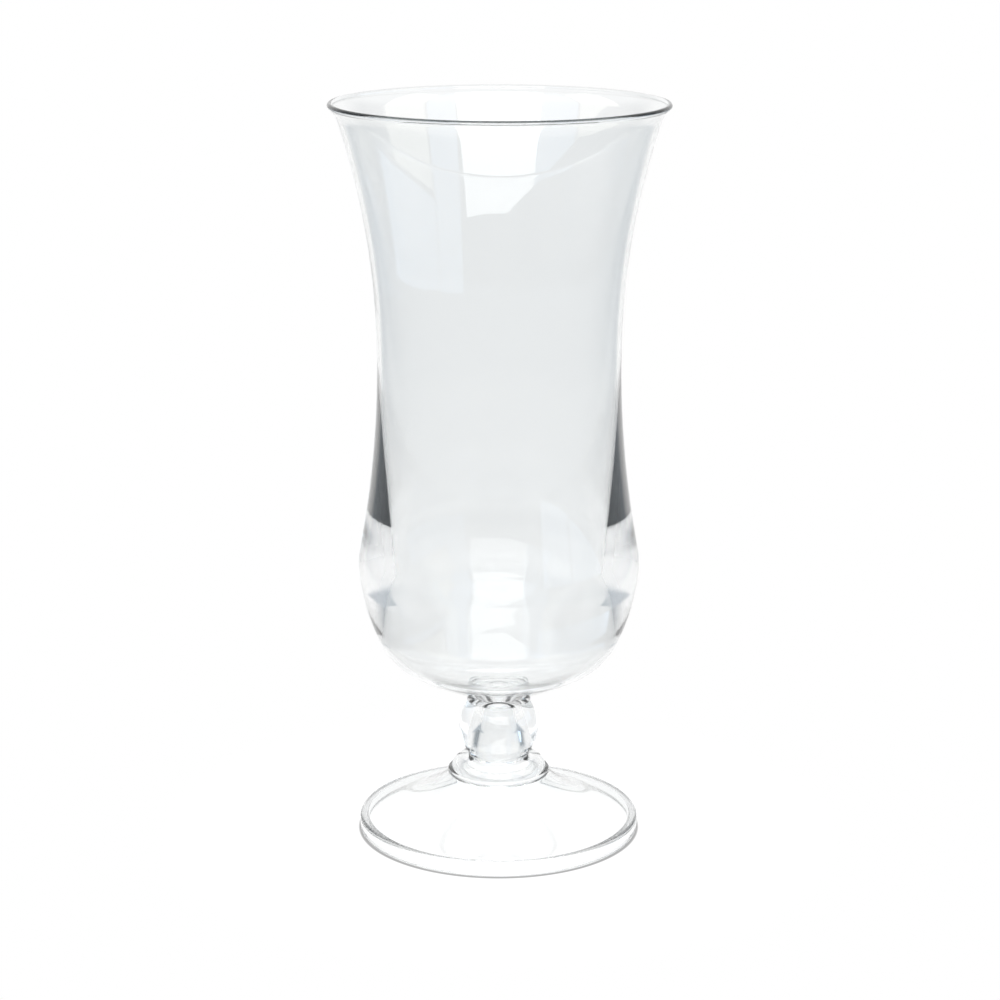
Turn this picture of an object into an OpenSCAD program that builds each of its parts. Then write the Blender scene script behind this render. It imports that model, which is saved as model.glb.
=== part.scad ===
// Footed hurricane glass in clear pressed glass: a flared bowl that swells into a low bulb,
// a barrel knop, a domed collar, a thin bead ring and a hollow spreading foot.
// The pieces are rings on one upright axis and stack from the table up, so each seat
// follows the height of the piece below it. Sizes are in millimetres.

/* [Foot] */
// diameter over the foot's outer edge
foot_d = 76.8; // [70:0.2:82]
// height of the hub's flat top above the table
foot_h = 15.6; // [13:0.1:19]
// height of the outer edge, from the table to the start of the top curve
edge_h = 4.2; // [3.4:0.1:5]
// radius of the rounding over the outer edge
edge_rad = 1.2; // [0.6:0.1:1.6]
// radius of the rounding under the outer edge
toe_rad = 0.6; // [0.3:0.1:1]
// slope of the top curve where it reaches the edge, in degrees
edge_slope = 8; // [4:0.5:12]
// diameter of the hub's flat top
hub_d = 27.2; // [25.6:0.1:28]
// width of the standing ring under the outer edge
ring_w = 1.6; // [1.4:0.1:2.4]
// wall thickness of the foot between its top and the vault under it
foot_wall = 1.4; // [1.2:0.1:2.2]

/* [Bead ring] */
// diameter over the bead
bead_d = 28; // [27.4:0.1:31]
// thickness of the bead ring
bead_h = 1.4; // [1:0.1:2.2]

/* [Collar] */
// diameter of the collar at its lower end
collar_d = 26.3; // [24:0.1:26.8]
// height of the collar
collar_h = 3.5; // [2.8:0.1:4]
// radius of the dome over the collar's shoulder
dome_rad = 4.1; // [3.6:0.1:4.4]

/* [Knop] */
// diameter over the knop's barrel
knop_d = 21.7; // [20.4:0.1:24]
// height of the knop, from the collar to the underside of the bowl
knop_h = 18.2; // [16:0.1:21]
// radius of the barrel's swell, seen from the side
barrel_rad = 11.8; // [11:0.1:16]
// diameter of the disc under the barrel
disc_d = 16.6; // [15.6:0.1:18]
// height of the disc under the barrel
disc_h = 0.8; // [0.5:0.1:1.4]
// diameter of the neck above the barrel
neck_d = 17.4; // [16.6:0.1:18]
// height of the neck below the bowl
neck_h = 2.1; // [1.4:0.1:3]
// depth that the neck is let into the bowl
spigot_h = 0.5; // [0.3:0.1:1]
// clearance around the neck in the bowl's socket
spigot_gap = 0.05; // [0.02:0.01:0.1]

/* [Hollow stem] */
// radius of the hollow's round tip
tip_rad = 4.35; // [3.6:0.05:4.8]
// thickness of glass left between the tip and the neck's top
tip_roof = 2.5; // [1.8:0.1:3.4]
// slope of the hollow's side from the upright inside the knop, in degrees
hollow_slope = 10.5; // [8:0.5:12]
// slope of the hollow's flare from the upright below the knop, in degrees
flare_slope = 45.5; // [42:0.5:47]

/* [Bowl] */
// height of the bowl from the underside of its base to the rim
bowl_h = 161.3; // [150:0.5:175]
// diameter over the rim
rim_d = 89.7; // [84:0.1:96]
// height of the lip that turns outward under the rim
lip_h = 4.65; // [4:0.05:6]
// distance that the lip reaches out past the flare
lip_reach = 2.6; // [2:0.1:3.2]
// diameter of the rounded bead along the rim
rim_bead_d = 1.5; // [1.3:0.1:1.9]
// wall thickness of the flare
wall = 1.13; // [0.9:0.01:1.25]
// outer diameter of the waist
waist_d = 65; // [62:0.5:68]
// height of the waist above the bowl's base
waist_h = 94.2; // [84:0.5:104]
// outer diameter of the bulb
bulge_d = 76; // [72:0.5:80]
// height of the bulb's widest circle above the bowl's base
bulge_h = 36.9; // [34:0.1:40]
// radius of the bulb's shoulder, seen from the side
shoulder_rad = 24.1; // [20:0.1:28]
// turn of the shoulder past the widest circle, in degrees
shoulder_turn = 7.1; // [5:0.1:9]
// radius of the belly between shoulder and heel
belly_rad = 60; // [50:1:75]
// radius of the heel
heel_rad = 16.4; // [14:0.1:19]
// slope of the base cone, in degrees
base_slope = 25.2; // [23:0.1:27]
// outer diameter of the base ring around the neck
base_d = 17.9; // [17.7:0.1:19]

/* [Bowl inside] */
// inner diameter at the faint ledge inside the bulb
ledge_d = 60.7; // [59:0.1:61.6]
// height of the ledge above the bowl's base
ledge_h = 39.8; // [36:0.1:44]
// slope of the inside just below the ledge, in degrees from the upright
ledge_slope = 4; // [2:0.5:6]
// radius of the slack throat below the ledge, seen from the side
throat_rad = 150; // [100:5:200]
// radius between the throat and the floor
corner_rad = 13; // [11:0.1:15]
// radius of the dished floor
floor_rad = 62; // [54:1:75]
// thickness of glass under the floor's lowest point
floor_t = 4.5; // [3.8:0.1:6]

/* [Hidden] */
glass = [0.86, 0.92, 0.93, 0.45];

// Largest gap between an arc and the short straight steps that it is drawn with.
arc_gap = 0.01;

// Heights of the seats above the table.
bead_z = foot_h;
collar_z = bead_z + bead_h;
knop_z = collar_z + collar_h;
bowl_z = knop_z + knop_h;
spigot_z = bowl_z + spigot_h;
rim_z = bowl_z + bowl_h;

// Every piece is one outline turned about the upright axis. Points are [radius, height].

// A point on a circle about c, at angle a.
function on(c, r, a) = c + r * [cos(a), sin(a)];

// The points of an arc after its first one, which the outline already holds.
function arc(c, r, a0, a1) =
  let (n = ceil(abs(a1 - a0) / (2 * acos(1 - arc_gap / abs(r)))))
    [for (i = [1:n]) on(c, r, a0 + (a1 - a0) * i / n)];

// The farther point at which a line from p along the unit vector d crosses a circle about c.
function far_cross(p, d, c, r) =
  let (q = c - p, along = q * d)
    p + d * (along + sqrt(r * r - q * q + along * along));

// Centre of the hollow curve that falls from the point high to the point low, sloping s degrees at low.
function fall_centre(high, low, s) =
  let (run = low - high, up = [sin(s), cos(s)])
    low - up * (run * run) / (2 * (run * up));

// Angle of the point p seen from c.
function bearing(c, p) = atan2(p[1] - c[1], p[0] - c[0]);

// The stem's hollow: inside the knop a cone that runs tangent into a round tip, and below it a flare
// that opens into the foot's vault.
tip_c = [0, spigot_z - tip_roof - tip_rad];
function cone(z) = (tip_rad + (tip_c[1] - z) * sin(hollow_slope)) / cos(hollow_slope);
function hollow(z) = [cone(max(z, knop_z)) + max(0, knop_z - z) * tan(flare_slope), z];

// Foot: the top falls in one hollow curve from the hub to a rounded edge, and the vault follows it
// below at an even wall, from the standing ring up into the flare of the stem's hollow.
foot_r = foot_d / 2;
ring_r = foot_r - ring_w;
hub_out = [hub_d / 2, foot_h];
edge_c = [foot_r - edge_rad, edge_h - edge_rad];
edge_top = on(edge_c, edge_rad, 90 - edge_slope);
toe_c = [foot_r - toe_rad, toe_rad];
top_c = fall_centre(hub_out, edge_top, edge_slope);
top_rad = norm(hub_out - top_c);
top_high = bearing(top_c, hub_out);
vault_rad = top_rad + foot_wall;
vault_low = -acos((ring_r - top_c[0]) / vault_rad);

foot_outline = concat(
  [hollow(foot_h), hub_out],
  arc(top_c, top_rad, top_high, bearing(top_c, edge_top)),
  arc(edge_c, edge_rad, 90 - edge_slope, 0),
  [[foot_r, toe_rad]],
  arc(toe_c, toe_rad, 0, -90),
  [[ring_r, 0], on(top_c, vault_rad, vault_low)],
  arc(top_c, vault_rad, vault_low, top_high)
);

module foot() {
  color(glass)
    rotate_extrude($fn = 96)
      polygon(foot_outline);
}

// Bead ring: a thin ring with a half-round edge between the foot and the collar.
bead_c = [(bead_d - bead_h) / 2, bead_z + bead_h / 2];

bead_outline = concat(
  [hollow(bead_z), [bead_c[0], bead_z]],
  arc(bead_c, bead_h / 2, -90, 90),
  [hollow(collar_z)]
);

module bead_ring() {
  color(glass)
    rotate_extrude($fn = 96)
      polygon(bead_outline);
}

// Collar: a low dome that carries the knop.
dome_c = [collar_d / 2 - dome_rad, knop_z - dome_rad];
dome_low = asin((collar_z - dome_c[1]) / dome_rad);

collar_outline = concat(
  [hollow(collar_z), on(dome_c, dome_rad, dome_low)],
  arc(dome_c, dome_rad, dome_low, 90),
  [hollow(knop_z)]
);

module collar() {
  color(glass)
    rotate_extrude($fn = 96)
      polygon(collar_outline);
}

// Knop: a barrel on a thin disc, with a neck that is let into the bowl.
disc_r = disc_d / 2;
neck_r = neck_d / 2;
barrel_low = knop_z + disc_h;
barrel_high = bowl_z - neck_h;
barrel_c = [knop_d / 2 - barrel_rad, (barrel_low + barrel_high) / 2];
barrel_turn = asin((barrel_high - barrel_c[1]) / barrel_rad);

knop_outline = concat(
  [hollow(knop_z), [disc_r, knop_z], [disc_r, barrel_low], on(barrel_c, barrel_rad, -barrel_turn)],
  arc(barrel_c, barrel_rad, -barrel_turn, barrel_turn),
  [[neck_r, barrel_high], [neck_r, spigot_z], [0, spigot_z], on(tip_c, tip_rad, 90)],
  arc(tip_c, tip_rad, 90, hollow_slope)
);

module knop() {
  color(glass)
    rotate_extrude($fn = 96)
      polygon(knop_outline);
}

// Bowl, outside below the waist: the base cone, the heel, the belly, the shoulder and a long draw.
// The heel is tangent to the base cone and to the belly. The draw is upright at the waist and
// tangent to the shoulder, which sets its radius.
socket_r = neck_r + spigot_gap;
waist = [waist_d / 2, bowl_z + waist_h];
shoulder_c = [bulge_d / 2 - shoulder_rad, bowl_z + bulge_h];
draw_run = waist - shoulder_c;
draw_rad = (draw_run * draw_run - shoulder_rad * shoulder_rad) / (2 * (shoulder_rad - draw_run[0]));
draw_c = waist + [draw_rad, 0];
draw_turn = asin(draw_run[1] / (draw_rad + shoulder_rad));
belly_c = on(on(shoulder_c, shoulder_rad, -shoulder_turn), belly_rad, 180 - shoulder_turn);
base_out = [base_d / 2, bowl_z];
base_up = [-sin(base_slope), cos(base_slope)];
base_run = [cos(base_slope), sin(base_slope)];
heel_c = far_cross(base_out + heel_rad * base_up, base_run, belly_c, belly_rad - heel_rad);
heel_low = base_slope - 90;
heel_high = bearing(belly_c, heel_c);

// Bowl, outside above the waist: one flare that is upright at the waist, then a lip that turns out
// into the rounded bead of the rim.
flare_end = [rim_d / 2 - lip_reach, rim_z - lip_h];
flare_run = flare_end - waist;
flare_rad = (flare_run * flare_run) / (2 * flare_run[0]);
flare_c = waist + [flare_rad, 0];
flare_turn = asin(flare_run[1] / flare_rad);
rim_rad = rim_bead_d / 2;
rim_c = [rim_d / 2 - rim_rad, rim_z - rim_rad];
lip_dir = [cos(flare_turn), -sin(flare_turn)];
lip_run = flare_end - rim_c;
lip_rad = (lip_run * lip_run - rim_rad * rim_rad) / (2 * (rim_rad - lip_run * lip_dir));
lip_c = flare_end + lip_rad * lip_dir;
lip_out = bearing(lip_c, rim_c);

// Bowl, inside: the lip and the flare at an even wall down to the waist, a long side that draws in to
// a faint ledge, a slack throat, a rounded corner and a dished floor. The lip's inner curve ends where
// it meets the rim's bead. The corner is tangent to the throat and to the floor.
lip_in_rad = lip_rad + wall;
lip_gap = lip_rad + rim_rad;
lip_squares = lip_gap * lip_gap + lip_in_rad * lip_in_rad - rim_rad * rim_rad;
lip_in = lip_out + acos(lip_squares / (2 * lip_gap * lip_in_rad));
lip_meet = on(lip_c, lip_in_rad, lip_in);
rim_end = (bearing(rim_c, lip_meet) + 360) % 360;
flare_in_rad = flare_rad + wall;
side_top = waist - [wall, 0];
ledge = [ledge_d / 2, bowl_z + ledge_h];
side_drop = side_top - ledge;
side_turn = 2 * atan2(side_drop[0], side_drop[1]);
side_rad = side_drop[1] / sin(side_turn);
side_c = side_top - [side_rad, 0];
floor_c = [0, bowl_z + floor_t + floor_rad];
throat_c = on(ledge, throat_rad, -ledge_slope);
throat_gap = floor_c - throat_c;
corner_reach = throat_rad + corner_rad;
corner_spare = floor_rad - corner_rad;
corner_squares = throat_gap * throat_gap + corner_reach * corner_reach - corner_spare * corner_spare;
corner_turn = bearing(throat_c, floor_c) + acos(corner_squares / (2 * norm(throat_gap) * corner_reach));
corner_c = on(throat_c, corner_reach, corner_turn);
corner_low = bearing(floor_c, corner_c);

bowl_outline = concat(
  [[0, spigot_z], [socket_r, spigot_z], [socket_r, bowl_z], base_out, on(heel_c, heel_rad, heel_low)],
  arc(heel_c, heel_rad, heel_low, heel_high),
  arc(belly_c, belly_rad, heel_high, -shoulder_turn),
  arc(shoulder_c, shoulder_rad, -shoulder_turn, draw_turn),
  arc(draw_c, draw_rad, 180 + draw_turn, 180),
  arc(flare_c, flare_rad, 180, 180 - flare_turn),
  arc(lip_c, lip_rad, 180 - flare_turn, lip_out),
  arc(rim_c, rim_rad, lip_out - 180, rim_end),
  arc(lip_c, lip_in_rad, lip_in, 180 - flare_turn),
  arc(flare_c, flare_in_rad, 180 - flare_turn, 180),
  arc(side_c, side_rad, 0, -side_turn),
  arc(throat_c, throat_rad, 180 - ledge_slope, corner_turn),
  arc(corner_c, corner_rad, corner_turn - 180, corner_low),
  arc(floor_c, floor_rad, corner_low, -90)
);

module bowl() {
  color(glass)
    rotate_extrude($fn = 96)
      polygon(bowl_outline);
}

foot();
bead_ring();
collar();
knop();
bowl();
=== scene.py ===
"""Studio scene of a footed hurricane glass in clear glass.

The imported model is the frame. Each piece of the glass is turned again here as a fine mesh,
because clear glass shows every facet, and stands for its CAD node. Its sizes are the CAD's own,
apart from a wider standing ring under the foot, softened corners and a thin film at the seats.
Sizes are in millimetres until a mesh is made, and the frame is in metres.
"""

import logging
import math
from abc import ABC, abstractmethod
from collections.abc import Iterable
from dataclasses import dataclass, field
from enum import Enum

import bmesh
import bpy
from mathutils import Euler, Matrix, Vector


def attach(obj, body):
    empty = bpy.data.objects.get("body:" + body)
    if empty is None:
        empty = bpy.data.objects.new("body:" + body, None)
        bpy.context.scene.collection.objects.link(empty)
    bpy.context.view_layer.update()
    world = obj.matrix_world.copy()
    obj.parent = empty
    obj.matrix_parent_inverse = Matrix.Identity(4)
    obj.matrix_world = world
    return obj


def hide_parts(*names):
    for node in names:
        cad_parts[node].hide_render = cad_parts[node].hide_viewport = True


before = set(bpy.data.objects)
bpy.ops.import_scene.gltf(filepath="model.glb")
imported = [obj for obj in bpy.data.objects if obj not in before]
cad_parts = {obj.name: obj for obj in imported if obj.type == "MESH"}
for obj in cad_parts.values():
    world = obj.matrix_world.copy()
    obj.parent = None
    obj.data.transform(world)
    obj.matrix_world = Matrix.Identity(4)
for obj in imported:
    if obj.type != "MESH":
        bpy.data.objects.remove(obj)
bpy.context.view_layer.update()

log = logging.getLogger("hurricane_glass")

MM = 0.001
BODY = "root"

# Largest gap between a true arc and the short chords of a turned outline, in millimetres.
ARC_GAP_MM = 0.001
# Steps round the axis. At the rim this keeps chords within a hundredth of a millimetre.
TURN_STEPS = 192
# Faces that meet at more than this keep a crisp edge.
CREASE_DEG = 28.0
# Points nearer to the axis than this lie on it, in millimetres.
ON_AXIS_MM = 1e-6
# Most of a straight run that the rounding of one corner may take.
CORNER_SHARE = 0.45
# Turn between the steps of a rounded corner, in degrees.
CORNER_STEP_DEG = 12
# Film left at a seat between two pieces, so that no two faces share one plane.
SEAT_FILM_MM = 0.01
# Slack in telling whether a point lies on a seat, in millimetres.
SEAT_SLACK_MM = 1e-4
# Index of refraction of soda-lime glass.
GLASS_IOR = 1.52
# Height of the point that the softboxes face, near the middle of the bowl.
AIM_HEIGHT = 0.16
# Turns that a light path may take in all.
LIGHT_TURNS = 14
# Mirrorings among them. Light led along inside the thick sides of the bulb ends here, so these
# go dark as in the photograph.
MIRROR_TURNS = 5
# Clear seats that a light path may cross besides.
CLEAR_TURNS = 24

# Settings of shader nodes that occur more than once.
SOFT_STEP = {"interpolation_type": "SMOOTHSTEP"}
COLOUR_MIX = {"data_type": "RGBA"}

Point = tuple[float, float]


def linear(hex_code: str) -> tuple[float, float, float, float]:
    """Turns an sRGB hex colour into Blender's linear colour.

    Args:
        hex_code: Six hex digits, with or without a leading hash.

    Returns:
        Linear red, green, blue and an alpha of one.
    """
    digits = hex_code.lstrip("#")
    channels = [int(digits[i : i + 2], 16) / 255 for i in (0, 2, 4)]
    red, green, blue = (
        c / 12.92 if c <= 0.04045 else ((c + 0.055) / 1.055) ** 2.4 for c in channels
    )
    return red, green, blue, 1.0


def add_node(
    tree: bpy.types.NodeTree, kind: str, settings: dict | None = None, **inputs: object
) -> bpy.types.Node:
    """Adds one shader node with its settings and links.

    Args:
        tree: Node tree that takes the node.
        kind: Blender's identifier for the node.
        settings: Attributes of the node itself.
        **inputs: Values or output sockets by input name, with underscores for spaces, or by the
            letter i and the input's number.

    Returns:
        The new node.
    """
    node = tree.nodes.new(kind)
    for name, value in (settings or {}).items():
        setattr(node, name, value)
    for name, value in inputs.items():
        key = int(name[1:]) if name[0] == "i" and name[1:].isdigit() else name.replace("_", " ")
        socket = node.inputs[key]
        if isinstance(value, bpy.types.NodeSocket):
            tree.links.new(value, socket)
        else:
            socket.default_value = value
    return node


def bare_material(name: str) -> bpy.types.Material:
    """Makes a material without nodes.

    Args:
        name: Name of the material.

    Returns:
        The material, whose node tree is empty.
    """
    made = bpy.data.materials.new(name)
    made.use_nodes = True
    made.node_tree.nodes.clear()
    return made


def add_object(name: str, data: bpy.types.ID) -> bpy.types.Object:
    """Adds an object to the scene.

    Args:
        name: Name of the object.
        data: Its mesh, lamp or camera.

    Returns:
        The new object, at the origin.
    """
    made = bpy.data.objects.new(name, data)
    bpy.context.scene.collection.objects.link(made)
    return made


def on_circle(centre: Point, radius: float, degrees: float) -> Point:
    """Gives the point of a circle at an angle from the outward direction."""
    turn = math.radians(degrees)
    return centre[0] + radius * math.cos(turn), centre[1] + radius * math.sin(turn)


def bearing(centre: Point, point: Point) -> float:
    """Gives the angle of a point seen from a centre, in degrees."""
    return math.degrees(math.atan2(point[1] - centre[1], point[0] - centre[0]))


def far_cross(start: Point, run: Point, centre: Point, radius: float) -> Point:
    """Finds the farther crossing of a line and a circle.

    Args:
        start: Point on the line.
        run: Unit vector along the line.
        centre: Centre of the circle.
        radius: Radius of the circle.

    Returns:
        The crossing that lies farther along the line.
    """
    gap = (centre[0] - start[0], centre[1] - start[1])
    along = gap[0] * run[0] + gap[1] * run[1]
    reach = along + math.sqrt(radius**2 - gap[0] ** 2 - gap[1] ** 2 + along**2)
    return start[0] + run[0] * reach, start[1] + run[1] * reach


def fall_centre(high: Point, low: Point, slope: float) -> Point:
    """Finds the centre of the hollow curve that falls from one point to another.

    Args:
        high: Inner, upper end of the curve.
        low: Outer, lower end of the curve.
        slope: Slope of the curve at its lower end, in degrees.

    Returns:
        The centre, above the curve.
    """
    run = (low[0] - high[0], low[1] - high[1])
    up = (math.sin(math.radians(slope)), math.cos(math.radians(slope)))
    radius = -(run[0] ** 2 + run[1] ** 2) / (2 * (run[0] * up[0] + run[1] * up[1]))
    return low[0] + up[0] * radius, low[1] + up[1] * radius


class Outline:
    """A half section of a turned piece, as points of radius and height in millimetres."""

    def __init__(self, *points: Point) -> None:
        """Starts the outline with its first points."""
        self.points: list[Point] = list(points)

    def to(self, *points: Point) -> "Outline":
        """Goes on in straight lines through the given points."""
        self.points.extend(points)
        return self

    def arc(self, centre: Point, radius: float, start: float, end: float) -> "Outline":
        """Goes on along an arc from the outline's last point.

        Args:
            centre: Centre of the arc.
            radius: Radius of the arc.
            start: Angle of the last point, in degrees.
            end: Angle at which the arc stops, in degrees.

        Returns:
            The outline itself.
        """
        chord = 2 * math.degrees(math.acos(1 - ARC_GAP_MM / radius))
        steps = max(2, math.ceil(abs(end - start) / chord))
        turns = (start + (end - start) * i / steps for i in range(1, steps + 1))
        self.points.extend(on_circle(centre, radius, turn) for turn in turns)
        return self

    def softened(self, radius: float, seats: Iterable["Seat"] = ()) -> list[Point]:
        """Rounds the crisp corners, as the flame does when glass is fire-polished.

        Args:
            radius: Radius of the rounding, in millimetres.
            seats: Fused seats, whose corners are gone in the melt and stay as drawn.

        Returns:
            The outline's points, with a short arc at each crisp corner off the axis.
        """
        out: list[Point] = []
        count = len(self.points)
        for i, here in enumerate(self.points):
            before, after = self.points[i - 1], self.points[(i + 1) % count]
            into = Vector((here[0] - before[0], here[1] - before[1]))
            away = Vector((after[0] - here[0], after[1] - here[1]))
            turn = into.angle(away, 0.0)
            crisp = here[0] >= ON_AXIS_MM and turn >= math.radians(CREASE_DEG)
            if not crisp or any(seat.holds(here) for seat in seats):
                out.append(here)
                continue
            shorter = min(into.length, away.length)
            cut = min(radius * math.tan(turn / 2), CORNER_SHARE * shorter)
            first = Vector(here) - into.normalized() * cut
            last = Vector(here) + away.normalized() * cut
            steps = max(3, math.ceil(math.degrees(turn) / CORNER_STEP_DEG))
            for k in range(steps + 1):
                t = k / steps
                bend = first.lerp(Vector(here), t).lerp(Vector(here).lerp(last, t), t)
                out.append((bend.x, bend.y))
        return out


@dataclass(frozen=True)
class Seat:
    """A face at which two pieces are fused, as a zone of radius and height in millimetres."""

    inner: float
    outer: float
    low: float
    high: float

    def holds(self, point: Point) -> bool:
        """Says whether a point of the outline lies on the seat."""
        level = self.low - SEAT_SLACK_MM <= point[1] <= self.high + SEAT_SLACK_MM
        return level and self.inner - SEAT_SLACK_MM <= point[0] <= self.outer + SEAT_SLACK_MM


def turned_mesh(name: str, outline: Iterable[Point], seats: Iterable[Seat] = ()) -> bpy.types.Mesh:
    """Turns an outline about the upright axis into a closed mesh.

    Args:
        name: Name of the mesh.
        outline: Points of radius and height, in millimetres, in order round the section.
        seats: Fused seats, whose faces take the second material.

    Returns:
        A smooth mesh in metres with crisp creases.
    """
    outline = list(outline)
    rings: list[list[int]] = []
    verts: list[tuple[float, float, float]] = []
    for radius, height in outline:
        first = len(verts)
        if radius < ON_AXIS_MM:
            verts.append((0.0, 0.0, height * MM))
            rings.append([first] * TURN_STEPS)
            continue
        for k in range(TURN_STEPS):
            turn = 2 * math.pi * k / TURN_STEPS
            verts.append((radius * MM * math.cos(turn), radius * MM * math.sin(turn), height * MM))
        rings.append(list(range(first, first + TURN_STEPS)))
    faces: list[tuple[int, ...]] = []
    fused: list[int] = []
    for i, ring in enumerate(rings):
        j = (i + 1) % len(rings)
        on_seat = any(seat.holds(outline[i]) and seat.holds(outline[j]) for seat in seats)
        for k in range(TURN_STEPS):
            n = (k + 1) % TURN_STEPS
            corners = dict.fromkeys((ring[k], ring[n], rings[j][n], rings[j][k]))
            if len(corners) > 2:
                faces.append(tuple(corners))
                fused.append(int(on_seat))
    mesh = bpy.data.meshes.new(name)
    mesh.from_pydata(verts, [], faces)
    mesh.polygons.foreach_set("material_index", fused)
    work = bmesh.new()
    work.from_mesh(mesh)
    bmesh.ops.recalc_face_normals(work, faces=work.faces)
    work.to_mesh(mesh)
    work.free()
    mesh.shade_smooth()
    mesh.set_sharp_from_angle(angle=math.radians(CREASE_DEG))
    return mesh


@dataclass(frozen=True)
class ClearGlass:
    """Clear soda-lime glass: water white, with a trace of iron green where it is thick.

    The surface is as smooth as a liquid, because it set from one. It was pressed or drawn hot and
    then fire-polished, so it keeps a slow swell that bends reflections a little. Washing leaves a
    trace of haze, which shows as grey only where the eye looks along inside the wall.
    """

    name: str
    tint: str = "#f8f9f9"
    ior: float = GLASS_IOR
    roughness: float = 0.0
    clearness: float = 0.98
    swell_mm: float = 24.0
    swell_height_mm: float = 0.05

    def surface(self, tree: bpy.types.NodeTree, where: bpy.types.NodeSocket) -> dict[str, object]:
        """Gives the shader's colour and roughness.

        Args:
            tree: Node tree of the material. Not used by plain glass.
            where: Position on the piece, in metres. Not used by plain glass.

        Returns:
            Values or sockets by the shader's input name.
        """
        return {"Base_Color": linear(self.tint), "Roughness": self.roughness}

    def material(self) -> bpy.types.Material:
        """Makes the material.

        Returns:
            A transmissive material with a slow swell in its surface.
        """
        made = bare_material(self.name)
        tree = made.node_tree
        where = add_node(tree, "ShaderNodeTexCoord")
        # One noise cell per swell: the coordinates are in metres.
        swell = add_node(
            tree,
            "ShaderNodeTexNoise",
            Vector=where.outputs["Object"],
            Scale=1 / (self.swell_mm * MM),
            Detail=1.0,
            Roughness=0.4,
        )
        bump = add_node(
            tree,
            "ShaderNodeBump",
            Height=swell.outputs[0],
            Distance=self.swell_height_mm * MM,
            Strength=1.0,
        )
        shader = add_node(
            tree,
            "ShaderNodeBsdfPrincipled",
            IOR=self.ior,
            Transmission_Weight=self.clearness,
            Normal=bump.outputs["Normal"],
            **self.surface(tree, where.outputs["Object"]),
        )
        add_node(tree, "ShaderNodeOutputMaterial", Surface=shader.outputs[0])
        return made


@dataclass(frozen=True)
class RimmedGlass(ClearGlass):
    """Clear glass with a rim.

    Light that enters at the rim is led down inside the wall, so the rim's crest looks dark. That
    dark line is painted shade here: a dark tint in the base colour on the outer side of the crest.
    """

    rim_mm: float = 200.0
    bead_mm: float = 44.1
    # Painted shade on the rim: a band this high at the top of the rim, on its outer side, in the
    # dark tint below.
    painted_rim_shade_mm: float = 0.7
    painted_rim_shade_tint: str = "#2c3132"

    def surface(self, tree: bpy.types.NodeTree, where: bpy.types.NodeSocket) -> dict[str, object]:
        """Gives the colour, with painted shade darkening the outer side of the rim's crest, and the
        roughness.

        Args:
            tree: Node tree of the material.
            where: Position on the piece, in metres.

        Returns:
            Values or sockets by the shader's input name.
        """
        height = add_node(tree, "ShaderNodeSeparateXYZ", Vector=where).outputs["Z"]
        level = add_node(
            tree, "ShaderNodeVectorMath", {"operation": "MULTIPLY"}, i0=where, i1=(1.0, 1.0, 0.0)
        )
        out = add_node(tree, "ShaderNodeVectorMath", {"operation": "LENGTH"}, i0=level.outputs[0])
        # Band of painted shade: near the top of the rim and outside the bead's radius.
        low, high = (self.rim_mm - self.painted_rim_shade_mm) * MM, (self.rim_mm - self.painted_rim_shade_mm / 2) * MM
        near, far = self.bead_mm * MM, (self.bead_mm + self.painted_rim_shade_mm / 2) * MM
        crest = add_node(tree, "ShaderNodeMapRange", SOFT_STEP, i0=height, i1=low, i2=high)
        outer = add_node(
            tree,
            "ShaderNodeMapRange",
            SOFT_STEP,
            i0=out.outputs["Value"],
            i1=near,
            i2=far,
            i4=crest.outputs[0],
        )
        colour = add_node(
            tree,
            "ShaderNodeMix",
            COLOUR_MIX,
            i0=outer.outputs[0],
            i6=linear(self.tint),
            i7=linear(self.painted_rim_shade_tint),
        )
        return {"Base_Color": colour.outputs[2], "Roughness": self.roughness}


@dataclass(frozen=True)
class ScuffedGlass(ClearGlass):
    """Clear glass that stands on tables.

    Its standing ring is finely scuffed and looks a little frosted.
    """

    scuffed_mm: float = 0.35
    scuffed_roughness: float = 0.4
    # Single scratches are too fine to show, so they are drawn as patches of this size.
    scratch_mm: float = 1.2
    scratch_range: tuple[float, float] = (0.3, 0.7)
    least_scuffed: float = 0.8

    def surface(self, tree: bpy.types.NodeTree, where: bpy.types.NodeSocket) -> dict[str, object]:
        """Gives the colour, and the roughness, patchy on the standing ring and none above it.

        Args:
            tree: Node tree of the material.
            where: Position on the piece, in metres.

        Returns:
            Values or sockets by the shader's input name.
        """
        height = add_node(tree, "ShaderNodeSeparateXYZ", Vector=where).outputs["Z"]
        patch = add_node(
            tree, "ShaderNodeTexNoise", Vector=where, Scale=1 / (self.scratch_mm * MM), Detail=2.0
        )
        rub = add_node(
            tree,
            "ShaderNodeMapRange",
            i0=patch.outputs[0],
            i1=self.scratch_range[0],
            i2=self.scratch_range[1],
            i3=self.scuffed_roughness * self.least_scuffed,
            i4=self.scuffed_roughness,
        )
        rough = add_node(
            tree,
            "ShaderNodeMapRange",
            SOFT_STEP,
            i0=height,
            i1=self.scuffed_mm * MM / 2,
            i2=self.scuffed_mm * MM,
            i3=rub.outputs[0],
            i4=self.roughness,
        )
        return {"Base_Color": linear(self.tint), "Roughness": rough.outputs[0]}


@dataclass(frozen=True)
class FusedSeat:
    """Seat at which two pieces were joined hot.

    The glass runs through, so the eye finds no face there.
    """

    name: str = "soda_lime_glass_fused_seat"
    ior: float = GLASS_IOR

    def material(self) -> bpy.types.Material:
        """Makes the material.

        Returns:
            A material that light passes straight through.
        """
        made = bare_material(self.name)
        tree = made.node_tree
        shader = add_node(tree, "ShaderNodeBsdfPrincipled", Alpha=0.0, Roughness=0.0, IOR=self.ior)
        add_node(tree, "ShaderNodeOutputMaterial", Surface=shader.outputs[0])
        return made


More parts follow.
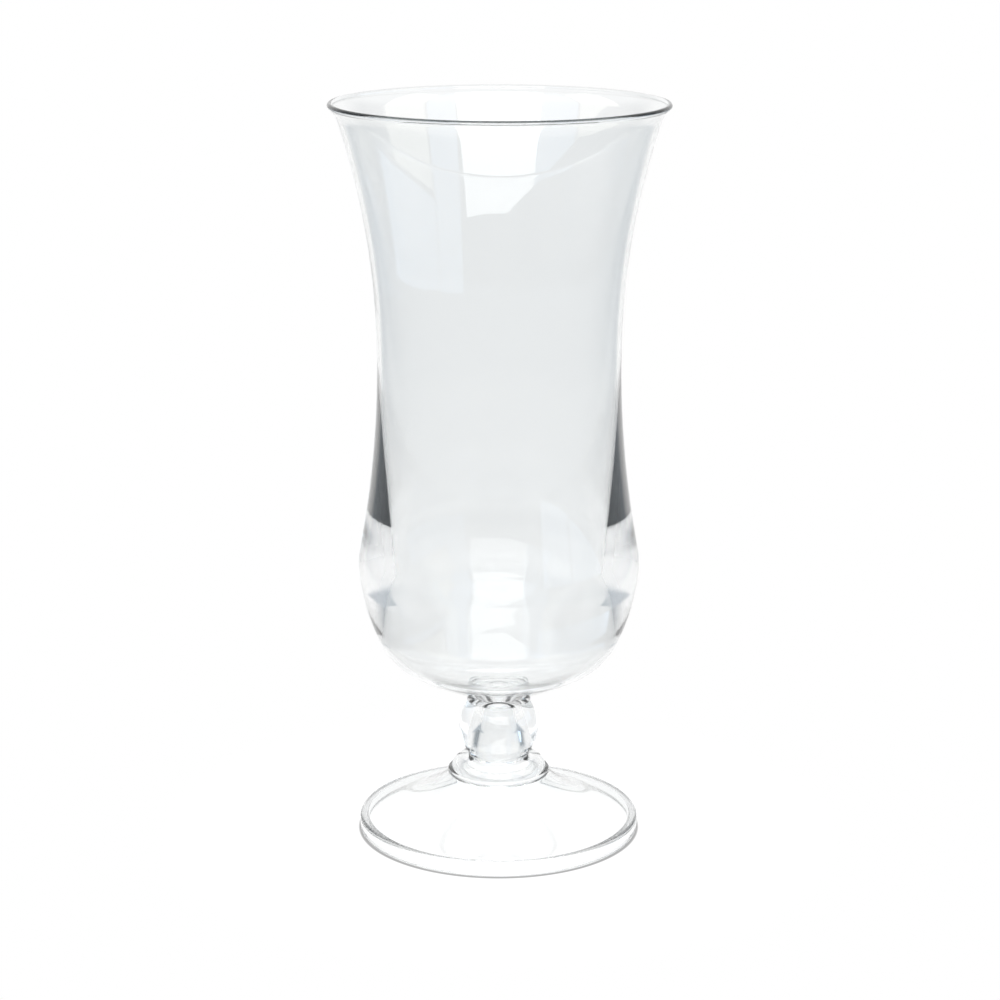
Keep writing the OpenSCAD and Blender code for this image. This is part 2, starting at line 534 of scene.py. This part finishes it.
@dataclass(frozen=True)
class StemHollow:
    """The cone-shaped hollow that runs up inside the stem to a round tip."""

    tip_height: float
    flare_height: float
    tip_radius: float = 4.35
    slope: float = 10.5
    flare_slope: float = 45.5

    @property
    def tip(self) -> Point:
        """Centre of the round tip."""
        return 0.0, self.tip_height

    def at(self, height: float) -> Point:
        """Gives the point on the hollow's side at a height.

        Args:
            height: Height above the table.

        Returns:
            Radius and height of the point.
        """
        slope = math.radians(self.slope)
        top = max(height, self.flare_height)
        cone = (self.tip_radius + (self.tip_height - top) * math.sin(slope)) / math.cos(slope)
        flare = (top - height) * math.tan(math.radians(self.flare_slope))
        return cone + flare, height


@dataclass
class TurnedPiece(ABC):
    """One piece of the glass: a ring or vessel turned about the upright axis."""

    node: str
    low: float
    hollow: StemHollow
    finish: ClearGlass
    soft_corner: float = 0.12

    @abstractmethod
    def outline(self) -> Outline:
        """Gives the piece's half section in millimetres."""

    @abstractmethod
    def seats(self) -> list[Seat]:
        """Gives the zones at which the piece is fused to its neighbours."""

    def build(self) -> bpy.types.Object:
        """Turns the piece, dresses it and sets it on the frame.

        Returns:
            The finished object, which stands for its CAD node.
        """
        name = f"turned_{self.node}"
        seats = self.seats()
        section = self.outline().softened(self.soft_corner, seats)
        piece = add_object(name, turned_mesh(name, section, seats))
        self.dress(piece)
        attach(piece, BODY)
        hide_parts(self.node)
        log.info("%s: %d faces", name, len(piece.data.polygons))
        return piece

    def dress(self, piece: bpy.types.Object) -> None:
        """Gives the piece its finish, and its seats theirs."""
        piece.data.materials.append(self.finish.material())
        piece.data.materials.append(FusedSeat().material())


@dataclass
class Foot(TurnedPiece):
    """Spreading hollow foot with a rounded edge and a standing ring."""

    diameter: float = 76.8
    height: float = 15.6
    edge_height: float = 4.2
    edge_radius: float = 1.2
    toe_radius: float = 0.6
    edge_slope: float = 8.0
    hub_diameter: float = 27.2
    ring_width: float = 2.4
    wall: float = 1.4
    seat_radius: float = 13.3

    @property
    def high(self) -> float:
        """Height of the hub's flat top."""
        return self.low + self.height

    def seats(self) -> list[Seat]:
        """Gives the seat under the bead ring."""
        top = self.high - SEAT_FILM_MM
        return [Seat(0.0, self.seat_radius, top, top)]

    def outline(self) -> Outline:
        """Gives the foot's half section, from the hub over the edge and back under the vault.

        Returns:
            The outline, closed from its last point to its first.
        """
        top = self.high - SEAT_FILM_MM
        rim = self.diameter / 2
        hub = (self.hub_diameter / 2, top)
        edge = (rim - self.edge_radius, self.edge_height - self.edge_radius)
        edge_top = on_circle(edge, self.edge_radius, 90 - self.edge_slope)
        over = fall_centre(hub, edge_top, self.edge_slope)
        toe = (rim - self.toe_radius, self.toe_radius)
        ring = rim - self.ring_width
        radius = math.dist(over, hub)
        vault = radius + self.wall
        vault_low = bearing(over, (ring, over[1] - math.sqrt(vault**2 - (ring - over[0]) ** 2)))
        shape = Outline(self.hollow.at(top), (self.seat_radius, top), hub)
        shape.arc(over, radius, bearing(over, hub), bearing(over, edge_top))
        shape.arc(edge, self.edge_radius, 90 - self.edge_slope, 0)
        shape.to((rim, self.toe_radius)).arc(toe, self.toe_radius, 0, -90)
        shape.to((ring, 0.0), on_circle(over, vault, vault_low))
        shape.arc(over, vault, vault_low, bearing(over, hub))
        return shape


@dataclass
class BeadRing(TurnedPiece):
    """Thin ring with a half-round edge between the foot and the collar."""

    diameter: float = 28.0
    height: float = 1.4
    seat_radius: float = 13.0

    @property
    def high(self) -> float:
        """Height of the ring's upper face."""
        return self.low + self.height

    def seats(self) -> list[Seat]:
        """Gives the seats on the foot and under the collar."""
        low, high = self.low + SEAT_FILM_MM, self.high - SEAT_FILM_MM
        round_edge = self.diameter / 2 - (high - low) / 2
        return [Seat(0.0, round_edge, low, low), Seat(0.0, self.seat_radius, high, high)]

    def outline(self) -> Outline:
        """Gives the ring's half section.

        Returns:
            The outline, closed from its last point to its first.
        """
        low, high = self.low + SEAT_FILM_MM, self.high - SEAT_FILM_MM
        radius = (high - low) / 2
        centre = (self.diameter / 2 - radius, (low + high) / 2)
        shape = Outline(self.hollow.at(low), (centre[0], low))
        return shape.arc(centre, radius, -90, 90).to((self.seat_radius, high), self.hollow.at(high))


@dataclass
class Collar(TurnedPiece):
    """Low dome that carries the knop."""

    diameter: float = 26.3
    height: float = 3.5
    dome_radius: float = 4.1
    low_seat_radius: float = 13.0
    high_seat_radius: float = 8.15

    @property
    def high(self) -> float:
        """Height of the collar's flat top."""
        return self.low + self.height

    def seats(self) -> list[Seat]:
        """Gives the seats on the bead ring and under the knop."""
        low, high = self.low + SEAT_FILM_MM, self.high - SEAT_FILM_MM
        wide, slim = self.low_seat_radius, self.high_seat_radius
        return [Seat(0.0, wide, low, low), Seat(0.0, slim, high, high)]

    def outline(self) -> Outline:
        """Gives the collar's half section.

        Returns:
            The outline, closed from its last point to its first.
        """
        low, high = self.low + SEAT_FILM_MM, self.high - SEAT_FILM_MM
        centre = (self.diameter / 2 - self.dome_radius, high - self.dome_radius)
        start = math.degrees(math.asin((low - centre[1]) / self.dome_radius))
        shape = Outline(self.hollow.at(low), (self.low_seat_radius, low))
        shape.to(on_circle(centre, self.dome_radius, start))
        shape.arc(centre, self.dome_radius, start, 90)
        return shape.to((self.high_seat_radius, high), self.hollow.at(high))


@dataclass
class Knop(TurnedPiece):
    """Barrel swelling of the stem on a thin disc, with a neck let into the bowl."""

    diameter: float = 21.7
    height: float = 18.2
    barrel_radius: float = 11.8
    disc_diameter: float = 16.6
    disc_height: float = 0.8
    neck_diameter: float = 17.4
    neck_height: float = 2.1
    spigot_height: float = 0.5
    seat_radius: float = 8.15

    @property
    def high(self) -> float:
        """Height of the bowl's underside."""
        return self.low + self.height

    def seats(self) -> list[Seat]:
        """Gives the seat on the collar and the neck's end inside the bowl's socket."""
        low, top = self.low + SEAT_FILM_MM, self.high + self.spigot_height - SEAT_FILM_MM
        neck = self.neck_diameter / 2
        return [Seat(0.0, self.seat_radius, low, low), Seat(0.0, neck, self.high, top)]

    def outline(self) -> Outline:
        """Gives the knop's half section, with the round tip of the hollow inside it.

        Returns:
            The outline, closed from its last point to its first.
        """
        low = self.low + SEAT_FILM_MM
        top = self.high + self.spigot_height - SEAT_FILM_MM
        disc, neck = self.disc_diameter / 2, self.neck_diameter / 2
        barrel_low, barrel_high = self.low + self.disc_height, self.high - self.neck_height
        centre = (self.diameter / 2 - self.barrel_radius, (barrel_low + barrel_high) / 2)
        turn = math.degrees(math.asin((barrel_high - centre[1]) / self.barrel_radius))
        shape = Outline(self.hollow.at(low), (self.seat_radius, low), (disc, low))
        shape.to((disc, barrel_low), on_circle(centre, self.barrel_radius, -turn))
        shape.arc(centre, self.barrel_radius, -turn, turn)
        shape.to((neck, barrel_high), (neck, self.high), (neck, top), (0.0, top))
        shape.to(on_circle(self.hollow.tip, self.hollow.tip_radius, 90))
        return shape.arc(self.hollow.tip, self.hollow.tip_radius, 90, self.hollow.slope)


@dataclass
class Bowl(TurnedPiece):
    """Drinking vessel with a thick low bulb, a slim waist, a thin flare and a beaded rim."""

    height: float = 161.3
    rim_diameter: float = 89.7
    lip_height: float = 4.65
    lip_reach: float = 2.6
    rim_bead_diameter: float = 1.5
    wall: float = 1.13
    waist_diameter: float = 65.0
    waist_height: float = 94.2
    bulge_diameter: float = 76.0
    bulge_height: float = 36.9
    shoulder_radius: float = 24.1
    shoulder_turn: float = 7.1
    belly_radius: float = 60.0
    heel_radius: float = 16.4
    base_slope: float = 25.2
    base_diameter: float = 17.9
    ledge_diameter: float = 60.7
    ledge_height: float = 39.8
    ledge_slope: float = 4.0
    throat_radius: float = 150.0
    corner_radius: float = 13.0
    floor_radius: float = 62.0
    floor_thickness: float = 4.5
    socket_radius: float = 8.75
    socket_depth: float = 0.5

    @property
    def high(self) -> float:
        """Height of the rim."""
        return self.low + self.height

    def seats(self) -> list[Seat]:
        """Gives the socket round the knop's neck."""
        return [Seat(0.0, self.socket_radius, self.low, self.low + self.socket_depth)]

    @property
    def waist(self) -> Point:
        """Outer point of the waist."""
        return self.waist_diameter / 2, self.low + self.waist_height

    def outline(self) -> Outline:
        """Gives the bowl's half section, up the outside, over the rim and down the inside.

        Returns:
            The outline, closed from its last point to its first.
        """
        low, socket = self.low, self.low + self.socket_depth
        shape = Outline((0.0, socket), (self.socket_radius, socket), (self.socket_radius, low))
        self._lower_outside(shape)
        self._upper_wall(shape)
        self._lower_inside(shape)
        return shape

    def _lower_outside(self, shape: Outline) -> None:
        """Adds the base cone, the heel, the belly, the shoulder and the draw up to the waist.

        Args:
            shape: Outline that goes on.
        """
        waist = self.waist
        shoulder = (self.bulge_diameter / 2 - self.shoulder_radius, self.low + self.bulge_height)
        run = (waist[0] - shoulder[0], waist[1] - shoulder[1])
        reach = run[0] ** 2 + run[1] ** 2 - self.shoulder_radius**2
        draw_radius = reach / (2 * (self.shoulder_radius - run[0]))
        draw = (waist[0] + draw_radius, waist[1])
        draw_turn = math.degrees(math.asin(run[1] / (draw_radius + self.shoulder_radius)))
        turn = -self.shoulder_turn
        belly_top = on_circle(shoulder, self.shoulder_radius, turn)
        belly = on_circle(belly_top, self.belly_radius, 180 + turn)
        base = (self.base_diameter / 2, self.low)
        up = on_circle(base, self.heel_radius, 90 + self.base_slope)
        along = on_circle((0.0, 0.0), 1.0, self.base_slope)
        heel = far_cross(up, along, belly, self.belly_radius - self.heel_radius)
        heel_high = bearing(belly, heel)
        shape.to(base, on_circle(heel, self.heel_radius, self.base_slope - 90))
        shape.arc(heel, self.heel_radius, self.base_slope - 90, heel_high)
        shape.arc(belly, self.belly_radius, heel_high, turn)
        shape.arc(shoulder, self.shoulder_radius, turn, draw_turn)
        shape.arc(draw, draw_radius, 180 + draw_turn, 180)

    def _upper_wall(self, shape: Outline) -> None:
        """Adds the flare, the lip, the rim's bead and the inside down to the waist.

        Args:
            shape: Outline that goes on.
        """
        waist, bead = self.waist, self.rim_bead_diameter / 2
        end = (self.rim_diameter / 2 - self.lip_reach, self.high - self.lip_height)
        run = (end[0] - waist[0], end[1] - waist[1])
        flare_radius = (run[0] ** 2 + run[1] ** 2) / (2 * run[0])
        flare = (waist[0] + flare_radius, waist[1])
        turn = math.degrees(math.asin(run[1] / flare_radius))
        rim = (self.rim_diameter / 2 - bead, self.high - bead)
        ahead = on_circle((0.0, 0.0), 1.0, -turn)
        back = (end[0] - rim[0], end[1] - rim[1])
        reach = back[0] ** 2 + back[1] ** 2 - bead**2
        lip_radius = reach / (2 * (bead - back[0] * ahead[0] - back[1] * ahead[1]))
        lip = (end[0] + lip_radius * ahead[0], end[1] + lip_radius * ahead[1])
        lip_out = bearing(lip, rim)
        inner = lip_radius + self.wall
        gap = lip_radius + bead
        squares = gap**2 + inner**2 - bead**2
        lip_in = lip_out + math.degrees(math.acos(squares / (2 * gap * inner)))
        meet = bearing(rim, on_circle(lip, inner, lip_in)) % 360
        inner_flare = flare_radius + self.wall
        shape.arc(flare, flare_radius, 180, 180 - turn)
        shape.arc(lip, lip_radius, 180 - turn, lip_out)
        shape.arc(rim, bead, lip_out - 180, meet)
        shape.arc(lip, inner, lip_in, 180 - turn)
        shape.arc(flare, inner_flare, 180 - turn, 180)

    def _lower_inside(self, shape: Outline) -> None:
        """Adds the drawn side, the ledge, the throat, the rounded corner and the dished floor.

        Args:
            shape: Outline that goes on.
        """
        top = shape.points[-1]
        ledge = (self.ledge_diameter / 2, self.low + self.ledge_height)
        lean = 2 * math.degrees(math.atan2(top[0] - ledge[0], top[1] - ledge[1]))
        side_radius = (top[1] - ledge[1]) / math.sin(math.radians(lean))
        floor = (0.0, self.low + self.floor_thickness + self.floor_radius)
        throat = on_circle(ledge, self.throat_radius, -self.ledge_slope)
        reach = self.throat_radius + self.corner_radius
        spare = self.floor_radius - self.corner_radius
        apart = math.dist(throat, floor)
        squares = apart**2 + reach**2 - spare**2
        swing = math.degrees(math.acos(squares / (2 * apart * reach)))
        turn = bearing(throat, floor) + swing
        corner = on_circle(throat, reach, turn)
        corner_low = bearing(floor, corner)
        shape.arc((top[0] - side_radius, top[1]), side_radius, 0, -lean)
        shape.arc(throat, self.throat_radius, 180 - self.ledge_slope, turn)
        shape.arc(corner, self.corner_radius, turn - 180, corner_low)
        shape.arc(floor, self.floor_radius, corner_low, -90)


@dataclass
class HurricaneGlass:
    """The whole glass: five pieces stacked on one axis from the table up."""

    tip_roof: float = 2.5
    pieces: list[TurnedPiece] = field(default_factory=list)

    def __post_init__(self) -> None:
        """Stacks the pieces, each on the seat of the one below."""
        blown = RimmedGlass("soda_lime_glass_blown", swell_mm=26.0, swell_height_mm=0.06)
        pressed = ScuffedGlass("soda_lime_glass_pressed", swell_mm=26.0, swell_height_mm=0.03)
        tooled = ClearGlass("soda_lime_glass_tooled", swell_mm=9.0, swell_height_mm=0.02)
        bowl_low = Foot.height + BeadRing.height + Collar.height + Knop.height
        tip_height = bowl_low + Knop.spigot_height - self.tip_roof - StemHollow.tip_radius
        hollow = StemHollow(tip_height, bowl_low - Knop.height)
        foot = Foot("foot", 0.0, hollow, pressed)
        bead = BeadRing("bead_ring", foot.high, hollow, tooled)
        collar = Collar("collar", bead.high, hollow, tooled)
        knop = Knop("knop", collar.high, hollow, tooled)
        bowl = Bowl("bowl", knop.high, hollow, blown)
        self.pieces = [foot, bead, collar, knop, bowl]

    def build(self) -> None:
        """Builds every piece."""
        for piece in self.pieces:
            piece.build()


class Cover(Enum):
    """Cloth over a softbox, by its sRGB colour."""

    WHITE = "#ffffff"
    SKY_BLUE = "#cee5ff"
    CREAM = "#fffced"


@dataclass(frozen=True)
class Softbox:
    """A flat, cloth-covered lamp that faces the glass, placed by the angles that it fills."""

    name: str
    azimuth: tuple[float, float]
    elevation: tuple[float, float]
    cover: Cover
    radiance: float
    lean: float = 0.0
    distance: float = 1.3

    def build(self) -> None:
        """Hangs the lamp, which the glass mirrors as a bright pane."""
        middle = math.radians(sum(self.azimuth) / 2)
        half = math.radians((self.azimuth[1] - self.azimuth[0]) / 2)
        bottom, top = (math.radians(edge) for edge in self.elevation)
        lean = math.radians(self.lean)
        # The lower edge is at the full distance. A lamp that leans has its top nearer to the glass.
        low = self.distance * math.tan(bottom)
        rise = math.cos(lean) + math.sin(lean) * math.tan(top)
        tall = (self.distance * math.tan(top) - low) / rise
        out = self.distance - tall / 2 * math.sin(lean)
        height = AIM_HEIGHT + low + tall / 2 * math.cos(lean)
        data = bpy.data.lights.new(self.name, "AREA")
        data.shape = "RECTANGLE"
        data.size = 2 * self.distance * math.tan(half)
        data.size_y = tall
        data.color = linear(self.cover.value)[:3]
        data.energy = self.radiance * math.pi * data.size * data.size_y
        lamp = add_object(self.name, data)
        lamp.location = (out * math.sin(middle), -out * math.cos(middle), height)
        lamp.rotation_euler = (math.radians(90) - lean, 0, middle)


@dataclass(frozen=True)
class Flag:
    """A cloth board of the wall's colour that hides the lower part of the lamps on the left."""

    name: str = "flag"
    distance: float = 1.2
    low: float = -4.0
    # Azimuth and elevation of the upper edge's points, in degrees.
    edge: tuple[Point, ...] = (
        (-3, 8),
        (-10, 11),
        (-22, 13.5),
        (-37, 16),
        (-65, 20),
        (-100, 22),
        (-115, 22),
    )

    def build(self, colour: str) -> None:
        """Hangs the board.

        Args:
            colour: Colour of the wall behind it.
        """
        # Molton drinks most of the light, so the glass mirrors it as even grey, without a sheen.
        made = bare_material("grey_molton_cloth")
        dull = add_node(made.node_tree, "ShaderNodeEmission", Color=linear(colour), Strength=1.0)
        add_node(made.node_tree, "ShaderNodeOutputMaterial", Surface=dull.outputs[0])
        verts = [self._at(turn, level) for turn, top in self.edge for level in (self.low, top)]
        faces = [(2 * i, 2 * i + 1, 2 * i + 3, 2 * i + 2) for i in range(len(self.edge) - 1)]
        mesh = bpy.data.meshes.new(self.name)
        mesh.from_pydata(verts, [], faces)
        mesh.materials.append(made)
        board = add_object(self.name, mesh)

    def _at(self, azimuth: float, elevation: float) -> tuple[float, float, float]:
        """Gives the point of the board in a direction from the middle of the bowl.

        Args:
            azimuth: Turn to the right of the camera's side, in degrees.
            elevation: Angle above the level, in degrees.

        Returns:
            The point, in metres.
        """
        turn = math.radians(azimuth)
        height = AIM_HEIGHT + self.distance * math.tan(math.radians(elevation))
        return self.distance * math.sin(turn), -self.distance * math.cos(turn), height


@dataclass(frozen=True)
class LightTable:
    """Opal acrylic table lit from below: the pale floor, with a painted pool of light that is
    brightest under the glass.

    The painted pool of light is a wedge that widens away from the camera. Its glow fades over its
    edges to painted shade in a dim, cooler tone, and a painted contact shadow rings the standing
    ring. Sizes are in metres, and strengths are shares of white.
    """

    half_width: float = 3.0
    front: float = -3.0
    back: float = 6.0
    drop: float = 0.0002
    # Painted pool of light: a wedge of the table that widens away from the camera, fading to
    # painted shade beyond its edges.
    painted_pool_half_width: float = 0.155
    painted_pool_widening: float = 0.36
    painted_pool_front: float = -0.15
    painted_pool_fade: float = 0.12
    painted_shade_level: float = 0.64
    white: str = "#ffffff"
    painted_shade_tint: str = "#e0e9f1"
    # Painted pool of light, brighter still near the glass's axis.
    painted_pool_heart_radius: float = 0.1
    painted_pool_heart: float = 1.15
    # Painted contact shadow: a thin darker ring of the table at this radius, round the standing
    # ring.
    contact_shadow_radius: float = 0.0382
    painted_contact_shadow: float = 0.4
    contact_shadow_core: float = 0.0002
    contact_shadow_blur: float = 0.001

    def build(self) -> None:
        """Lays the table just under the foot."""
        wide, near, far, low = self.half_width, self.front, self.back, -self.drop
        mesh = bpy.data.meshes.new("light_table")
        corners = [(-wide, near, low), (wide, near, low), (wide, far, low), (-wide, far, low)]
        mesh.from_pydata(corners, [], [(0, 1, 2, 3)])
        mesh.materials.append(self.material())
        table = add_object("light_table", mesh)

    def material(self) -> bpy.types.Material:
        """Makes the lit acrylic, with its painted light and shade.

        Returns:
            A white glow with a painted pool of light under the glass and a painted contact shadow
            at the standing ring, fading to painted shade towards the camera side and the sides.
        """
        made = bare_material("opal_acrylic_with_painted_light_and_shadow")
        tree = made.node_tree
        place = add_node(tree, "ShaderNodeTexCoord").outputs["Object"]
        axes = add_node(tree, "ShaderNodeSeparateXYZ", Vector=place)
        x, y = axes.outputs["X"], axes.outputs["Y"]
        less, times = {"operation": "SUBTRACT"}, {"operation": "MULTIPLY"}
        size = {"operation": "ABSOLUTE"}
        aside = add_node(tree, "ShaderNodeMath", size, i0=x)
        # How far a point lies outside the painted pool of light: past its sides, or past its front
        # edge.
        widen = add_node(
            tree,
            "ShaderNodeMath",
            {"operation": "MULTIPLY_ADD"},
            i0=y,
            i1=-self.painted_pool_widening,
            i2=aside.outputs[0],
        )
        side = widen.outputs[0]
        past_side = add_node(tree, "ShaderNodeMath", less, i0=side, i1=self.painted_pool_half_width)
        past_front = add_node(tree, "ShaderNodeMath", less, i0=self.painted_pool_front, i1=y)
        outside = add_node(
            tree,
            "ShaderNodeMath",
            {"operation": "MAXIMUM"},
            i0=past_side.outputs[0],
            i1=past_front.outputs[0],
        )
        far = add_node(
            tree, "ShaderNodeMapRange", SOFT_STEP, i0=outside.outputs[0], i1=0.0, i2=self.painted_pool_fade
        )
        # Painted shade beyond the pool: dimmer and cooler.
        glow = add_node(tree, "ShaderNodeMapRange", i0=far.outputs[0], i3=1.0, i4=self.painted_shade_level)
        colour = add_node(
            tree,
            "ShaderNodeMix",
            COLOUR_MIX,
            i0=far.outputs[0],
            i6=linear(self.white),
            i7=linear(self.painted_shade_tint),
        )
        reach = add_node(tree, "ShaderNodeVectorMath", {"operation": "LENGTH"}, i0=place)
        away = reach.outputs["Value"]
        # Painted pool of light: brighter within this radius of the glass's axis.
        painted_pool_heart = add_node(
            tree,
            "ShaderNodeMapRange",
            SOFT_STEP,
            i0=away,
            i1=0.0,
            i2=self.painted_pool_heart_radius,
            i3=self.painted_pool_heart,
            i4=1.0,
        )
        # Painted contact shadow: the table's glow dims in a thin ring where the standing ring
        # touches it.
        off_shadow_ring = add_node(tree, "ShaderNodeMath", less, i0=away, i1=self.contact_shadow_radius)
        near_shadow_ring = add_node(tree, "ShaderNodeMath", size, i0=off_shadow_ring.outputs[0])
        contact_shadow_mask = add_node(
            tree,
            "ShaderNodeMapRange",
            SOFT_STEP,
            i0=near_shadow_ring.outputs[0],
            i1=self.contact_shadow_core,
            i2=self.contact_shadow_blur,
            i3=self.painted_contact_shadow,
            i4=1.0,
        )
        even = add_node(tree, "ShaderNodeMath", times, i0=glow.outputs[0], i1=painted_pool_heart.outputs[0])
        strength = add_node(tree, "ShaderNodeMath", times, i0=even.outputs[0], i1=contact_shadow_mask.outputs[0])
        lit = add_node(
            tree, "ShaderNodeEmission", Color=colour.outputs[2], Strength=strength.outputs[0]
        )
        add_node(tree, "ShaderNodeOutputMaterial", Surface=lit.outputs[0])
        return made


@dataclass(frozen=True)
class Surround:
    """The room: a white sweep behind the glass, a pale ceiling and dim walls on the camera side."""

    wall: str = "#8b949a"
    ceiling: str = "#f8fbfd"
    sweep: str = "#ffffff"
    # Parts of the direction's unit vector over which the walls turn into the sweep and the ceiling.
    to_sweep: tuple[float, float] = (0.5, 0.9)
    to_ceiling: tuple[float, float] = (0.3, 0.6)

    def build(self) -> None:
        """Paints the room round the scene by direction."""
        room = bpy.data.worlds.new("studio_room")
        room.use_nodes = True
        tree = room.node_tree
        tree.nodes.clear()
        where = add_node(tree, "ShaderNodeTexCoord")
        axes = add_node(tree, "ShaderNodeSeparateXYZ", Vector=where.outputs["Generated"])
        (y_low, y_high), (z_low, z_high) = self.to_sweep, self.to_ceiling
        y, z = axes.outputs["Y"], axes.outputs["Z"]
        back = add_node(tree, "ShaderNodeMapRange", SOFT_STEP, i0=y, i1=y_low, i2=y_high)
        up = add_node(tree, "ShaderNodeMapRange", SOFT_STEP, i0=z, i1=z_low, i2=z_high)
        sides = add_node(
            tree,
            "ShaderNodeMix",
            COLOUR_MIX,
            i0=up.outputs[0],
            i6=linear(self.wall),
            i7=linear(self.ceiling),
        )
        whole = add_node(
            tree,
            "ShaderNodeMix",
            COLOUR_MIX,
            i0=back.outputs[0],
            i6=sides.outputs[2],
            i7=linear(self.sweep),
        )
        shade = add_node(tree, "ShaderNodeBackground", Color=whole.outputs[2], Strength=1.0)
        add_node(tree, "ShaderNodeOutputWorld", Surface=shade.outputs[0])
        bpy.context.scene.world = room


@dataclass(frozen=True)
class Studio:
    """Pale floor, soft light and the camera at the photograph's angle."""

    lens_mm: float = 94.7
    sensor_mm: float = 36.0
    camera_at: tuple[float, float, float] = (0.00025, -0.6864, 0.2732)
    camera_pitch: float = 75.30
    camera_roll: float = 0.10
    softboxes: tuple[Softbox, ...] = (
        Softbox("front_window", (-29, 30), (10.5, 75), Cover.WHITE, 3.0, lean=25.0),
        Softbox("right_panel", (36, 60), (-5, 62), Cover.SKY_BLUE, 1.1),
        Softbox("right_low_panel", (61, 118), (-5, 12), Cover.SKY_BLUE, 1.1),
        Softbox("left_panel", (-65, -31), (12, 62), Cover.SKY_BLUE, 1.1),
        Softbox("right_wall", (62, 100), (13, 58), Cover.CREAM, 1.2),
        Softbox("left_wall", (-105, -67), (18, 58), Cover.CREAM, 1.2),
    )

    def build(self) -> None:
        """Sets up the room, the table, the lamps, the camera and how light is followed."""
        room = Surround()
        room.build()
        LightTable().build()
        Flag().build(room.wall)
        for box in self.softboxes:
            box.build()
        self.camera()
        scene = bpy.context.scene
        scene.view_settings.view_transform = "Standard"
        scene.cycles.max_bounces = LIGHT_TURNS
        scene.cycles.glossy_bounces = MIRROR_TURNS
        scene.cycles.transmission_bounces = LIGHT_TURNS
        scene.cycles.transparent_max_bounces = CLEAR_TURNS

    def camera(self) -> None:
        """Places the camera and makes it the scene's own."""
        data = bpy.data.cameras.new("camera")
        data.sensor_width = self.sensor_mm
        data.lens = self.lens_mm
        eye = add_object("camera", data)
        tilt = Euler((math.radians(self.camera_pitch), 0, 0)).to_matrix()
        eye.matrix_world = Matrix.Translation(self.camera_at) @ (
            tilt @ Matrix.Rotation(math.radians(self.camera_roll), 3, "Z")
        ).to_4x4()
        bpy.context.scene.camera = eye


def main() -> None:
    """Builds the glass and its studio."""
    logging.basicConfig(level=logging.INFO, format="%(name)s: %(message)s")
    HurricaneGlass().build()
    Studio().build()


if __name__ == "__main__":
    main()
